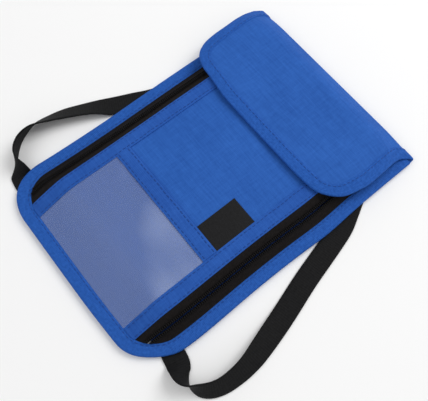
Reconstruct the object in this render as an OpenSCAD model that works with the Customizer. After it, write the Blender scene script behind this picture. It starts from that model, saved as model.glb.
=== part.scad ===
// Neck pouch wallet: a flat travel pouch worn under the clothes on a webbing neck strap.
// It lies on its back. X runs across it, +Y runs to the fold of the flap, +Z comes out of
// its front. The origin is under the middle of the pouch, on the surface it lies on.
// Lengths are in millimetres.

/* [Pouch] */
// Width across the bound edges
pouch_w = 140; // [128:1:160]
// Length from the bottom edge to the fold of the flap
pouch_l = 204.5; // [195:0.5:225]
// Radius of the two bottom corners
corner_r = 26; // [20:1:32]
// Height of the filled front above the surface that the pouch lies on
fill_h = 12.2; // [11.6:0.1:16]
// How much lower the front is at the zips than along its middle
crown = 0.7; // [0.4:0.1:1.2]
// Length of the slope from the bottom binding up to the full height
foot_l = 28; // [24:1:40]
// Setback of the front's open top edge from the fold of the flap
mouth_set = 14.5; // [13:0.5:20]
// Length of the slope down to the open top edge
mouth_slope_l = 32; // [26:1:40]
// Drop of the front at its open top edge
mouth_drop = 1.7; // [1.2:0.1:2.2]

/* [Cloth] */
// Thickness of the outer cloth with its foam backing
panel_t = 0.8; // [0.6:0.1:1]
// Thickness of the shielding liner
liner_t = 0.3; // [0.2:0.05:0.4]
// Thickness of the front cloth and of the zip tape
tape_t = 0.7; // [0.5:0.05:0.8]
// Width of the binding tape that shows on each face
binding_w = 8; // [6:0.5:9]
// Thickness of the binding tape
binding_t = 0.4; // [0.3:0.05:0.6]

/* [Front] */
// Width of the clear window between the two hem strips
window_w = 81; // [70:1:90]
// Height of the clear window from the bottom edge of the pouch
window_l = 63; // [45:1:75]
// Thickness of the clear window sheet
window_t = 0.4; // [0.3:0.05:0.6]
// Width of each hem strip
hem_w = 9; // [7:0.5:11]
// Thickness of each hem strip
hem_t = 0.6; // [0.4:0.05:0.8]
// Width of the band along the top of the window
band_w = 9.6; // [8:0.2:12]
// Thickness of that band
band_t = 0.6; // [0.4:0.05:0.8]
// Width of the woven label
label_w = 18; // [14:1:24]
// Length of the woven label
label_l = 27.5; // [20:0.5:34]
// Thickness of the woven label
label_t = 0.5; // [0.3:0.1:0.7]
// Width of the hem along the open top edge
mouth_hem_w = 6; // [4:0.5:8]
// Length of the passport sleeve inside the pouch
sleeve_l = 150; // [120:1:165]

/* [Zips] */
// Width of one closed coil across both rows
coil_w = 3.6; // [3.2:0.1:4]
// Height of the coil above its tape
coil_h = 1.6; // [1.3:0.1:1.8]
// Width of the slit between the two rows, where the slider's post runs
coil_slit = 0.8; // [0.7:0.05:1]
// Distance from the mouth down to the end of the coils
zip_set = 5.2; // [4:0.2:7]
// Length of the post that joins the slider's plates
post_l = 3; // [2:0.25:4]
// Length of the slider's plates
slider_l = 9; // [8:0.5:10]
// Thickness of each slider plate
plate_t = 0.9; // [0.7:0.1:1.1]
// Clearance between the slider and what it rides on
slider_gap = 0.3; // [0.2:0.05:0.4]
// Radius of the pin that carries the pull
pin_r = 0.4; // [0.35:0.05:0.5]
// Radial clearance of the pull's eye on its pin
pin_gap = 0.05; // [0.03:0.01:0.08]
// Length of the pull from its pin to its tip
pull_l = 17; // [12:0.5:18]
// Width of the pull
pull_w = 5; // [4:0.5:6]
// Thickness of the pull
pull_t = 1; // [0.8:0.1:1.2]

/* [Flap] */
// Width of the flap across its bound edges
flap_w = 137; // [126:1:156]
// Distance from the fold to the flap's free edge
flap_l = 68; // [55:1:80]
// How far the flap lies to the left of the middle
flap_shift = 2.5; // [0:0.5:3]
// Radius of the flap's two free corners
flap_corner_r = 18; // [12:1:24]
// Outer radius of the fold
fold_r = 3.5; // [3:0.1:4]
// Drop of the flap's side edges below its middle
flap_droop = 2.6; // [0:0.5:4]
// Clearance between the closed flap and the front
flap_gap = 0.5; // [0.4:0.1:1]
// Thickness of the flap's lining
lining_t = 0.4; // [0.3:0.05:0.5]
// Width of the hook-and-loop closure
patch_w = 60; // [30:1:70]
// Length of the hook-and-loop closure
patch_l = 16; // [10:1:20]

/* [Neck strap] */
// Width of the webbing
strap_w = 13; // [10:0.5:15]
// Thickness of the webbing
strap_t = 1; // [0.8:0.1:1.2]
// Clearance between the webbing and the binding that lies on it
bed_gap = 0.1; // [0.1:0.05:0.3]

/* [Hidden] */

blue = "#2f62b4";
dark_blue = "#27519a";
black = "#1c1c1e";
silver = "#a9adb3";
clear = [0.62, 0.72, 0.86, 0.55];
eps = 1;                 // how far a cutting solid runs past what it cuts

// Heights of the layers in the bound edge, from the webbing up
z_bind0 = strap_t + bed_gap;
z_back0 = z_bind0 + binding_t;
z_back1 = z_back0 + panel_t;
z_liner1 = z_back1 + liner_t;
z_edge = z_liner1 + tape_t;
z_bind1 = z_edge + binding_t;

// Lines across and along the pouch
half_w = pouch_w / 2;
edge_r = (z_bind1 - z_bind0) / 2;     // roundness of the binding's outer edge
x_bind = half_w - binding_w;
x_win = window_w / 2;
x_hem = x_win + hem_w;
x_join = x_win + hem_w / 2;           // front panel and zip tape meet under the hem strip
x_zip = (x_bind + x_hem) / 2;
mouth_y = pouch_l - mouth_set;
top_y = pouch_l - fold_r;             // where the back starts to curl into the fold
fold_z = z_back0 + fold_r;
zip_end = mouth_y - zip_set;
stop_l = 1.6;
slider_y = zip_end - stop_l - 0.4 - slider_l / 2;

// Slope of the front at the zips
side_run = x_bind - x_hem;
side_rise = fill_h - crown - z_edge;
side_tilt = atan2(side_rise, side_run);
z_zip = z_edge + side_rise * (x_bind - x_zip) / side_run;

// Clears the closed flap from the hem strips
flap_top = fill_h + hem_t + flap_gap + binding_t + lining_t + panel_t;
flap_y0 = pouch_l - flap_l;
patch_t = (flap_top - panel_t - lining_t - fill_h - flap_gap) / 2;

// Half of the cross profile of the front, from the middle to past the bound edge
cross = [[0, fill_h], [x_win * 0.3, fill_h - crown * 0.05], [x_win * 0.6, fill_h - crown * 0.2],
    [x_win * 0.85, fill_h - crown * 0.45], [x_join, fill_h - crown * 0.7],
    [x_hem, fill_h - crown], [x_bind, z_edge], [half_w + eps, z_edge]];
// Share of the height that the front has gained along its foot
foot = [[0, 0], [0.12, 0.13], [0.3, 0.37], [0.5, 0.62], [0.68, 0.81], [0.84, 0.94], [1, 1.04]];
// Share of the drop that the front has lost along its mouth slope
mouth = [[0, -0.35], [0.25, -0.02], [0.5, 0.3], [0.75, 0.63], [1, 1]];

function mirrored(p) = concat([for (i = [len(p) - 1:-1:1]) [-p[i][0], p[i][1]]], p);
along = concat([[-eps, z_edge], [binding_w, z_edge]],
    [for (i = [1:len(foot) - 1])
        [binding_w + foot_l * foot[i][0], z_edge + (fill_h - z_edge) * foot[i][1]]],
    [for (m = mouth) [mouth_y - mouth_slope_l * (1 - m[0]), fill_h - mouth_drop * m[1]]],
    [[pouch_l, fill_h - mouth_drop * 1.4]]);

// Puts the pouch's bottom edge half its length before the origin
module placed() { translate([0, -pouch_l / 2, 0]) children(); }

// Extrudes an X-Z outline along Y, or a Y-Z outline along X
module along_y(y0, y1) { translate([0, y1, 0]) rotate([90, 0, 0]) linear_extrude(y1 - y0) children(); }
module along_x(x0, x1) { translate([x0, 0, 0]) rotate([90, 0, 90]) linear_extrude(x1 - x0) children(); }

// Outline of the pouch from above, drawn in from its bound edge
module outline(inset, top = top_y) {
    r = corner_r - inset;
    union() {
        translate([inset - half_w, corner_r]) square([pouch_w - 2 * inset, top - corner_r]);
        translate([corner_r - half_w, inset]) square([pouch_w - 2 * corner_r, corner_r]);
        for (s = [-1, 1]) translate([s * (half_w - corner_r), corner_r]) circle(r = r, $fn = 96);
    }
}

// Everything under the front's surface, raised by h; g widens it where it cuts
module front_under(h, g = 0) {
    p = mirrored(cross);
    intersection() {
        along_y(-g, pouch_l - eps + g)
            polygon(concat([[-half_w - eps - g, -g]], [[-half_w - eps - g, z_edge + h]],
                [for (q = p) [q[0], q[1] + h]], [[half_w + eps + g, z_edge + h]],
                [[half_w + eps + g, -g]]));
        along_x(-half_w - g, half_w + g)
            polygon(concat([[-eps - g, -g]], [[-eps - g, z_edge + h]],
                [for (q = along) [q[0], q[1] + h]],
                [[pouch_l + g, fill_h - mouth_drop * 1.4 + h]], [[pouch_l + g, -g]]));
        union() {
            translate([-half_w - g, corner_r, -g]) cube([pouch_w + 2 * g, pouch_l + g, 3 * fill_h]);
            translate([corner_r - half_w, -g, -g])
                cube([pouch_w - 2 * corner_r, corner_r + g + eps, 3 * fill_h]);
            for (s = [-1, 1]) translate([s * (half_w - corner_r), corner_r, 0]) corner_under(h, g);
        }
    }
}

// The same slope carried round a bottom corner
module corner_under(h, g) {
    a = corner_r - binding_w;
    run = min(side_run, a);
    rise = side_rise * run / side_run;
    rotate_extrude($fn = 96)
        polygon([[0, -g], [corner_r + g, -g], [corner_r + g, z_edge + h], [a, z_edge + h],
            [a - run, z_edge + rise + h], [a - run, 2 * fill_h], [0, 2 * fill_h]]);
}

// A layer of cloth from a to b above the front's surface, cut to the outline drawn as child
module front_layer(a, b) {
    difference() {
        intersection() {
            front_under(b);
            linear_extrude(3 * fill_h) children();
        }
        front_under(a, eps);
    }
}

module strip(x0, x1, y0, y1) { translate([x0, y0]) square([x1 - x0, y1 - y0]); }

// Outline inside the binding's inner edge, and inside its hollow
module inside_binding(top) { outline(binding_w, top); }
module in_hollow(top) { outline(edge_r, top); }

// ---- Back ----
module back_panel() {
    color(blue) placed() intersection() {
        along_x(-half_w + edge_r, half_w - edge_r) union() {
            translate([0, z_back0]) square([top_y, panel_t]);
            intersection() {
                translate([top_y, fold_z]) difference() {
                    circle(r = fold_r, $fn = 64);
                    circle(r = fold_r - panel_t, $fn = 64);
                }
                translate([top_y, 0]) square([2 * fold_r, fold_z - slider_gap / 2]);
            }
        }
        linear_extrude(fold_z) in_hollow(pouch_l + eps);
    }
}

module shield_liner() {
    color(silver) placed() translate([0, 0, z_back1]) linear_extrude(liner_t)
        in_hollow(top_y - 1);
}

module passport_sleeve() {
    color(dark_blue) placed() translate([0, 0, z_liner1]) linear_extrude(liner_t)
        intersection() {
            outline(binding_w + 2);
            strip(-half_w, half_w, 0, sleeve_l);
        }
}

// ---- Bound edge ----
// Section of the folded binding, from its round outer edge inwards
module binding_section() {
    h = z_bind1 - z_bind0;
    difference() {
        union() {
            translate([edge_r, 0]) square([binding_w - edge_r, h]);
            translate([edge_r, h / 2]) circle(r = h / 2, $fn = 48);
        }
        translate([edge_r, binding_t]) square([binding_w, h - 2 * binding_t]);
        translate([edge_r, h / 2]) circle(r = h / 2 - binding_t, $fn = 48);
    }
}

module binding_corner() {
    rotate_extrude(angle = 90, $fn = 96)
        translate([corner_r, 0]) mirror([1, 0]) binding_section();
}

module perimeter_binding() {
    color(blue) placed() translate([0, 0, z_bind0]) {
        for (s = [0, 1]) mirror([s, 0, 0]) {
            along_y(corner_r, top_y - 0.5)
                translate([half_w, 0]) mirror([1, 0]) binding_section();
            translate([half_w - corner_r, corner_r, 0]) rotate([0, 0, -90]) binding_corner();
        }
        along_x(corner_r - half_w, half_w - corner_r) binding_section();
    }
}

// ---- Front ----
module front_panel() {
    color(blue) placed() front_layer(-tape_t, 0) intersection() {
        in_hollow(mouth_y);
        strip(-x_join, x_join, 0, mouth_y);
    }
}

module hem_strip(s) {
    color(dark_blue) placed() front_layer(0, hem_t) intersection() {
        inside_binding(mouth_y);
        if (s > 0) strip(x_win, x_hem, 0, mouth_y);
        else strip(-x_hem, -x_win, 0, mouth_y);
    }
}
module left_hem_strip() { hem_strip(-1); }
module right_hem_strip() { hem_strip(1); }

module window_sheet() {
    color(clear) placed() front_layer(0, window_t)
        strip(-x_win, x_win, binding_w, window_l + 1.5);
}

module window_band() {
    color(dark_blue) placed() union() {
        front_layer(window_t, window_t + band_t) strip(-x_win, x_win, window_l, window_l + band_w);
        front_layer(0, window_t + band_t / 2)
            strip(-x_win, x_win, window_l + 1.5, window_l + band_w);
    }
}

module mouth_hem() {
    color(dark_blue) placed() front_layer(0, hem_t)
        strip(-x_win, x_win, mouth_y - mouth_hem_w, mouth_y);
}

module woven_label() {
    color(black) placed() front_layer(0, label_t)
        strip(x_win - label_w, x_win, window_l + band_w, window_l + band_w + label_l);
}

// ---- Zips ----
module zip_tape_outer(s) {
    x0 = x_zip + coil_slit / 2;
    color(black) placed() front_layer(-tape_t, 0) intersection() {
        in_hollow(mouth_y);
        if (s > 0) strip(x0, half_w, 0, mouth_y);
        else strip(-half_w, -x0, 0, mouth_y);
    }
}
module zip_tape_inner(s) {
    x1 = x_zip - coil_slit / 2;
    color(black) placed() front_layer(-tape_t, 0) intersection() {
        in_hollow(mouth_y);
        if (s > 0) strip(x_join, x1, 0, mouth_y);
        else strip(-x1, -x_join, 0, mouth_y);
    }
}
module left_zip_tape_outer() { zip_tape_outer(-1); }
module left_zip_tape_inner() { zip_tape_inner(-1); }
module right_zip_tape_outer() { zip_tape_outer(1); }
module right_zip_tape_inner() { zip_tape_inner(1); }

// The two rows of a closed coil, with the slit between them
module coil_rows(s, y0, y1) {
    intersection() {
        inside_binding(mouth_y);
        for (t = [-1, 1]) {
            a = s * x_zip + t * coil_slit / 2;
            b = s * x_zip + t * coil_w / 2;
            strip(min(a, b), max(a, b), y0, y1);
        }
    }
}
module zip_coil(s) {
    color(black) placed() front_layer(0, coil_h) coil_rows(s, 0, zip_end - stop_l);
}
module left_zip_coil() { zip_coil(-1); }
module right_zip_coil() { zip_coil(1); }

module zip_top_stops() {
    color(black) placed() for (s = [-1, 1])
        front_layer(0, coil_h + 0.2) coil_rows(s, zip_end - stop_l, zip_end);
}

// Frame of a slider: across the tape, along it, and square to it
module on_zip(s) {
    placed() translate([s * x_zip, slider_y, z_zip]) rotate([0, s * side_tilt, 0]) children();
}

slider_half = coil_w / 2 / cos(side_tilt) + coil_h * sin(side_tilt) + slider_gap;
flange_t = 0.7;
plate_w = 2 * (slider_half + flange_t);
top_n = coil_h * cos(side_tilt) + slider_gap;
pin_n = top_n + plate_t + pin_r + pin_gap + 0.45;
eye_r = pin_r + pin_gap + 0.3;
ear_u = 1.3;
ear_t = 0.8;
low_n = -tape_t - slider_gap;

// A slider plate with round ends, narrower where the teeth part
module plate(w, l) {
    intersection() {
        square([w, l], center = true);
        circle(d = sqrt(w * w + l * l) * 0.9, $fn = 64);
    }
}

module slider(s) {
    color(black) {
        on_zip(s) {
            difference() {
                union() {
                    translate([0, 0, slider_gap]) linear_extrude(top_n + plate_t - slider_gap)
                        plate(plate_w, slider_l);
                    for (t = [-1, 1]) translate([t * (ear_u + ear_t / 2), 0, 0]) ear();
                }
                translate([-slider_half, -slider_l, 0])
                    cube([2 * slider_half, 2 * slider_l, top_n]);
            }
            translate([-ear_u - ear_t / 2, 0, pin_n]) rotate([0, 90, 0])
                cylinder(r = pin_r, h = 2 * ear_u + ear_t, $fn = 32);
            translate([0, 0, low_n - plate_t]) linear_extrude(plate_t)
                plate(plate_w - 2 * flange_t, slider_l);
        }
        // The post through the slit carries the lower plate
        placed() translate([s * x_zip, slider_y + slider_l / 4, 0]) intersection() {
            translate([-coil_slit / 4, -post_l / 2, 0]) cube([coil_slit / 2, post_l, 3 * fill_h]);
            rotate([0, s * side_tilt, 0]) translate([0, 0, 0])
                translate([-plate_w, -post_l, z_zip * cos(side_tilt) + low_n - plate_t / 2])
                    cube([2 * plate_w, 2 * post_l, top_n - low_n + plate_t]);
        }
    }
}

// An ear of the bridge that holds the pull's pin
module ear() {
    translate([-ear_t / 2, 0, 0]) rotate([90, 0, 90]) linear_extrude(ear_t) union() {
        translate([0, pin_n]) circle(r = pin_r + 0.45, $fn = 48);
        translate([-pin_r - 0.45, top_n]) square([2 * (pin_r + 0.45), pin_n - top_n]);
    }
}

module left_slider() { slider(-1); }
module right_slider() { slider(1); }

// The pull lies down the zip from its pin; its grip has a slot and a round end
module pull(s) {
    neck = 2 * ear_u - 2 * slider_gap;
    clear_v = pin_r + 0.45 + slider_gap;
    color(black) on_zip(s) translate([0, 0, pin_n]) difference() {
        union() {
            rotate([0, 90, 0]) cylinder(r = eye_r, h = neck, center = true, $fn = 48);
            translate([-neck / 2, -clear_v - 1, -pull_t / 2]) cube([neck, clear_v + 1, pull_t]);
            translate([0, 0, -pull_t / 2]) linear_extrude(pull_t) difference() {
                union() {
                    translate([-pull_w / 2, pull_w / 2 - pull_l])
                        square([pull_w, pull_l - pull_w / 2 - clear_v]);
                    translate([0, pull_w / 2 - pull_l]) circle(d = pull_w, $fn = 48);
                }
                translate([-pull_w / 5, pull_w / 2 - pull_l]) square([pull_w / 2.5, pull_w]);
                translate([0, pull_w / 2 - pull_l]) circle(d = pull_w / 2.5, $fn = 32);
            }
        }
        rotate([0, 90, 0]) cylinder(r = pin_r + pin_gap, h = 2 * pull_w, center = true, $fn = 48);
    }
}
module left_pull() { pull(-1); }
module right_pull() { pull(1); }

// ---- Flap ----
fold_turn = 55;                        // how far the fold curls before it straightens
brow_r = 16;                           // radius where the flap levels out over the front
brow_rise = brow_r * (1 - cos(90 - fold_turn));
ramp = (flap_top - fold_z - fold_r * sin(fold_turn) - brow_rise) / cos(fold_turn);
ramp_y = top_y + fold_r * cos(fold_turn) - ramp * sin(fold_turn);
brow_y = ramp_y - brow_r * sin(90 - fold_turn);

// The flap's surface from its fold to its free edge, drawn in by t; n runs past the edge
function flap_line(t, n = 0) = concat(
    [for (i = [0:5]) let (a = fold_turn * i / 5)
        [top_y + (fold_r - t) * cos(a), fold_z + (fold_r - t) * sin(a)]],
    [for (i = [0:5]) let (a = fold_turn + (90 - fold_turn) * i / 5)
        [brow_y + (brow_r - t) * cos(a), flap_top - brow_r + (brow_r - t) * sin(a)]],
    [[flap_y0 - n, flap_top - t]]);

// Everything under the flap's surface, drawn in by t; g widens it where it cuts
module flap_under(t, g = 0) {
    e = [[0, flap_top + eps], [flap_w * 0.36, flap_top + 0.3], [flap_w * 0.42, flap_top - flap_droop * 0.16],
        [flap_w * 0.46, flap_top - flap_droop * 0.44], [flap_w / 2 + eps, flap_top - flap_droop]];
    p = mirrored(e);
    intersection() {
        along_x(-flap_w / 2 - eps - g, flap_w / 2 + eps + g)
            polygon(concat([[top_y + fold_r - t, -g]], flap_line(t, eps + g),
                [[flap_y0 - eps - g, -g]]));
        along_y(flap_y0 - eps - g, pouch_l + eps)
            polygon(concat([[-flap_w / 2 - eps - g, -g]],
                [[-flap_w / 2 - eps - g, flap_top - flap_droop - t]],
                [for (q = p) [q[0], q[1] - t]],
                [[flap_w / 2 + eps + g, flap_top - flap_droop - t]], [[flap_w / 2 + eps + g, -g]]));
    }
}

// Outline of the flap from above, drawn in from its bound edge
module flap_outline(inset, top = pouch_l) {
    r = flap_corner_r;
    union() {
        translate([inset - flap_w / 2, flap_y0 + r]) square([flap_w - 2 * inset, top - flap_y0 - r]);
        translate([r - flap_w / 2, flap_y0 + inset]) square([flap_w - 2 * r, r]);
        for (s = [-1, 1]) translate([s * (flap_w / 2 - r), flap_y0 + r])
            circle(r = r - inset, $fn = 96);
    }
}

module on_flap() { placed() translate([-flap_shift, 0, 0]) children(); }

// A layer from a down to b under the flap's surface, cut to the outline drawn as child
module flap_layer(a, b) {
    difference() {
        intersection() {
            flap_under(a);
            translate([0, 0, fold_z + slider_gap / 2]) linear_extrude(3 * fill_h) children();
        }
        flap_under(b, eps);
    }
}

module flap_shell() {
    color(blue) on_flap() flap_layer(0, panel_t) flap_outline(edge_r);
}
module flap_lining() {
    color(dark_blue) on_flap() flap_layer(panel_t, panel_t + lining_t)
        flap_outline(edge_r, top_y - 3);
}
module flap_binding() {
    lo = panel_t + lining_t;
    color(blue) on_flap() difference() {
        flap_layer(-binding_t, lo + binding_t) difference() {
            flap_outline(0, top_y - 3);
            flap_outline(binding_w, pouch_l + eps);
        }
        intersection() {
            flap_under(0);
            linear_extrude(3 * fill_h) flap_outline(edge_r, pouch_l + eps);
            difference() {
                translate([-pouch_w, flap_y0 - eps, 0]) cube([2 * pouch_w, pouch_l, 3 * fill_h]);
                flap_under(lo, 2 * eps);
            }
        }
    }
}

// ---- Closure ----
module patch_outline() {
    translate([-patch_w / 2, flap_y0 + binding_w + 1]) square([patch_w, patch_l]);
}
module loop_patch() {
    color(black) placed() front_layer(0, patch_t) patch_outline();
}
module hook_patch() {
    color(black) on_flap() flap_layer(panel_t + lining_t, panel_t + lining_t + patch_t)
        patch_outline();
}

// ---- Neck strap ----
// Middle of the webbing: across, along from the bottom edge, and its turn about its own line.
// It runs from its left end down the left side, in under the pouch and back, and up the right.
route = [
    [-53.5, 188, 0], [-54.3, 176, 0], [-55.6, 160, 0], [-57.8, 141, 0], [-61, 122, 0],
    [-65.2, 107, 0], [-70.8, 94.6, 0], [-76, 83, 0], [-80.8, 73.4, 24], [-85, 64, 31],
    [-88.2, 56, 34], [-90.6, 47.6, 44], [-92.5, 38.5, 56], [-91.8, 32, 70], [-89.5, 25.8, 79],
    [-86, 21, 84], [-81.6, 17.3, 84], [-77, 15, 70], [-73.2, 13.8, 38], [-69.8, 12.9, 0],
    [-63, 12.2, 0], [-52, 13, 0], [-41, 19, 0], [-32.5, 32, 0], [-28, 52, 0], [-27, 80, 0],
    [-27, 108, 0], [-27, 135, 0], [-19.1, 154.1, 0], [0, 162, 0], [19.1, 154.1, 0], [27, 135, 0],
    [27, 108, 0], [27.5, 80, 0], [29.5, 56, 0], [36, 38, 0], [47, 27.5, 0], [59, 23, 0],
    [66.5, 21, 0], [71.8, 20, 0], [75.4, 18.9, -22], [78.7, 17.5, -46], [82, 16.9, -64],
    [85.5, 17.3, -88], [89.2, 19.3, -112], [92.6, 22.3, -124], [95.3, 26.8, -129], [97, 33, -133],
    [97.5, 41.4, -139], [97, 48.5, -145], [95.4, 57, -155], [89.7, 79.4, -180], [83, 102.5, -180],
    [79.4, 117, -180], [76.2, 130, -180], [72.9, 141.3, -180], [68.2, 151, -180],
    [63.2, 161, -180], [58, 173, -180], [54.6, 181, -180], [53.5, 188, -180]];
// Pieces of each stretch between two of these points: more where the webbing turns
route_steps = [for (i = [0:len(route) - 2]) i > 11 && i < 19 || i > 26 && i < 31 || i > 38 && i < 46
    ? 2 : 1];

function spline(p0, p1, p2, p3, t) = 0.5 * (2 * p1 + (p2 - p0) * t
    + (2 * p0 - 5 * p1 + 4 * p2 - p3) * t * t + (3 * p1 - p0 - 3 * p2 + p3) * t * t * t);
function at(i) = route[max(0, min(len(route) - 1, i))];
function between(i, t) = let (p = spline(at(i - 1), at(i), at(i + 1), at(i + 2), t))
    [p[0], p[1], at(i)[2] * (1 - t) + at(i + 1)[2] * t];
strap_line = concat([for (i = [0:len(route) - 2], k = [0:route_steps[i] - 1])
    between(i, k / route_steps[i])], [at(len(route) - 1)]);

function unit(v) = v / norm(v);
function heading(i) = let (a = strap_line[max(0, i - 1)],
    b = strap_line[min(len(strap_line) - 1, i + 1)]) unit([b[0] - a[0], b[1] - a[1], 0]);
// The webbing lies on the surface with its lower edge; its ends rise to the back panel
function strap_z(i) = let (n = len(strap_line) - 1, a = strap_line[i][2],
    lift = max(0, 1 - min(i, n - i)))
    strap_w / 2 * abs(sin(a)) + strap_t / 2 * abs(cos(a)) + lift * (z_back0 - strap_t);
strap_rings = [for (i = [0:len(strap_line) - 1])
    let (h = heading(i), left = [-h[1], h[0], 0], a = strap_line[i][2],
        u = left * cos(a) + [0, 0, sin(a)], v = -left * sin(a) + [0, 0, cos(a)],
        c = [strap_line[i][0], strap_line[i][1], strap_z(i)])
    [for (k = [[1, -1], [1, 1], [-1, 1], [-1, -1]])
        c + u * k[0] * strap_w / 2 + v * k[1] * strap_t / 2]];

module neck_strap() {
    n = len(strap_rings);
    color(black) placed() polyhedron(
        points = [for (r = strap_rings, p = r) p],
        faces = concat([[0, 3, 2], [0, 2, 1]],
            [let (m = 4 * (n - 1)) [m, m + 1, m + 2], let (m = 4 * (n - 1)) [m, m + 2, m + 3]],
            [for (i = [0:n - 2], j = [0:3]) let (a = 4 * i + j, b = 4 * i + (j + 1) % 4)
                [a, b, b + 4]],
            [for (i = [0:n - 2], j = [0:3]) let (a = 4 * i + j, b = 4 * i + (j + 1) % 4)
                [a, b + 4, a + 4]]));
}

back_panel();
shield_liner();
passport_sleeve();
front_panel();
perimeter_binding();
left_hem_strip();
right_hem_strip();
window_sheet();
window_band();
mouth_hem();
woven_label();
left_zip_tape_outer();
left_zip_tape_inner();
right_zip_tape_outer();
right_zip_tape_inner();
left_zip_coil();
right_zip_coil();
zip_top_stops();
left_slider();
right_slider();
left_pull();
right_pull();
flap_shell();
flap_lining();
flap_binding();
loop_patch();
hook_patch();
neck_strap();
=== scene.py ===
# %% [markdown]
# # A neck pouch wallet, dressed over its imported frame
# A neck pouch is a flat cloth travel pouch that hangs under the clothes on a webbing strap.
# The measured model gives every piece its place. This lesson gives each piece the look of
# the real thing: woven cloth, folded binding, coil zips, clear vinyl and soft webbing.
# A first cell loads the frame.

# %% Load the frame
import math

import bpy
import numpy as np
from mathutils import Matrix, Vector


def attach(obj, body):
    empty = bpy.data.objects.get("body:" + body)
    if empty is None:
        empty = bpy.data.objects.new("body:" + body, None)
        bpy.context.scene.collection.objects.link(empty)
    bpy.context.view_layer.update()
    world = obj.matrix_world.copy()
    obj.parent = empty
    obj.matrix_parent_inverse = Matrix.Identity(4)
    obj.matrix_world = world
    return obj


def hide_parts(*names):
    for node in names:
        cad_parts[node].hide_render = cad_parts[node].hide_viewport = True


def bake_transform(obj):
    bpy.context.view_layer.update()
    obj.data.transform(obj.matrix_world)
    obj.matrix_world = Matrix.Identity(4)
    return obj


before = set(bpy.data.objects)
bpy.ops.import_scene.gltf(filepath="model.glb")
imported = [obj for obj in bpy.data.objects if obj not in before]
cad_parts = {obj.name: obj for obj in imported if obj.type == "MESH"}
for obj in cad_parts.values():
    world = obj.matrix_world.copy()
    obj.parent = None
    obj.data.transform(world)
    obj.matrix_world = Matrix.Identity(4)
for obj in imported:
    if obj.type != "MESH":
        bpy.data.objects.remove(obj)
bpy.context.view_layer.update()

# %% [markdown]
# ## Sizes of the pouch
# All sizes are written in millimetres, with y counted from the bottom edge of the pouch to
# the fold of its flap, because a sewer measures cloth from an edge. One function turns them
# into the frame's metres, whose origin lies under the middle of the pouch.

# %% Sizes in millimetres
HALF_WIDTH, LENGTH, CORNER = 70.0, 204.5, 26.0
BINDING, TAPE_T = 8.0, 0.4
Z_BACK, Z_LINER, Z_EDGE = 1.5, 2.3, 3.3
FILL, CROWN, FOOT = 12.2, 0.7, 28.0
WINDOW_X, HEM_X, ZIP_X, BOUND_X = 40.5, 49.5, 55.75, 62.0
WINDOW_Y, BAND, MOUTH_Y, TOP_Y = 63.0, 9.6, 190.0, 201.0
LABEL_W, LABEL_L = 18.0, 27.5
SIDE_SLOPE = (FILL - CROWN - Z_EDGE) / (BOUND_X - HEM_X)


def to_frame(points):
    """Millimetres from the bottom edge, to metres in the frame."""
    moved = np.array(points, float)
    moved[..., 1] -= LENGTH / 2
    return moved / 1000


print("pouch", 2 * HALF_WIDTH, "by", LENGTH, "mm, side slope", round(SIDE_SLOPE, 3))

# %% [markdown]
# ## Camera
# The camera and the strap come first, because a loose strap has to lie well inside the view.
# The camera looks down steeply from the pouch's lower right and stands about 0.3 m away, so
# the near corner looks a little larger than the far one.

# %% Camera
turn, height, roll = map(math.radians, (47.5, 70.0, -3.6))
AWAY = 0.3118  # metres from the point that it looks at
back = Vector((math.sin(turn) * math.cos(height), -math.cos(turn) * math.cos(height),
               math.sin(height)))
right = Vector((math.cos(turn), math.sin(turn), 0))
up = back.cross(right)
rolled_right = right * math.cos(roll) - up * math.sin(roll)
rolled_up = right * math.sin(roll) + up * math.cos(roll)
aim = Vector(to_frame([13.0, 93.2, 0.0]))
camera = bpy.data.objects.new("camera", bpy.data.cameras.new("camera"))
bpy.context.scene.collection.objects.link(camera)
camera.data.lens, camera.data.sensor_width = 44.07, 36
camera.data.clip_start = 0.01
axes = Matrix((rolled_right, rolled_up, back)).transposed()
camera.matrix_world = Matrix.Translation(aim + back * AWAY) @ axes.to_4x4()
bpy.context.scene.camera = camera
print("camera at", [round(c, 4) for c in camera.matrix_world.translation])

# %% [markdown]
# ## From points to pieces
# Cloth pieces are thin solids that lie on curved surfaces. A piece is worked out as a grid of
# points, and two helpers close it: `slab` joins an upper and a lower grid round their rim, and
# `sweep` joins the rings of a section that follows a path and caps both ends.

# %% Mesh helpers
def slab(top, bottom):
    """Points and faces of a closed solid between two grids of points."""
    rows, columns = top.shape[:2]
    index = np.arange(rows * columns).reshape(rows, columns)
    under = index + rows * columns
    quads = np.stack([index[:-1, :-1], index[:-1, 1:], index[1:, 1:], index[1:, :-1]], -1)
    lower = np.stack([under[:-1, :-1], under[1:, :-1], under[1:, 1:], under[:-1, 1:]], -1)
    rim = np.concatenate([index[0, :-1], index[:-1, -1], index[-1, :0:-1], index[:0:-1, 0]])
    near, far = rim, np.roll(rim, -1)
    walls = np.stack([near, near + rows * columns, far + rows * columns, far], -1)
    faces = np.concatenate([quads.reshape(-1, 4), lower.reshape(-1, 4), walls])
    return np.concatenate([top.reshape(-1, 3), bottom.reshape(-1, 3)]), faces.tolist()


def sweep(rings):
    """Points and faces of a closed section carried along a path, with flat ends."""
    count, around = rings.shape[:2]
    index = np.arange(count * around).reshape(count, around)
    after = np.roll(index, -1, axis=1)
    quads = np.stack([index[:-1], after[:-1], after[1:], index[1:]], -1)
    faces = quads.reshape(-1, 4).tolist()
    return rings.reshape(-1, 3), faces + [index[0][::-1].tolist(), index[-1].tolist()]


def outward(points, faces):
    """The faces, turned round if the solid that they close is inside out."""
    volume = 0.0
    for face in faces:
        a = points[face[0]]
        for k in range(1, len(face) - 1):
            volume += float(np.dot(a, np.cross(points[face[k]], points[face[k + 1]])))
    return faces if volume > 0 else [face[::-1] for face in faces]


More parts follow.
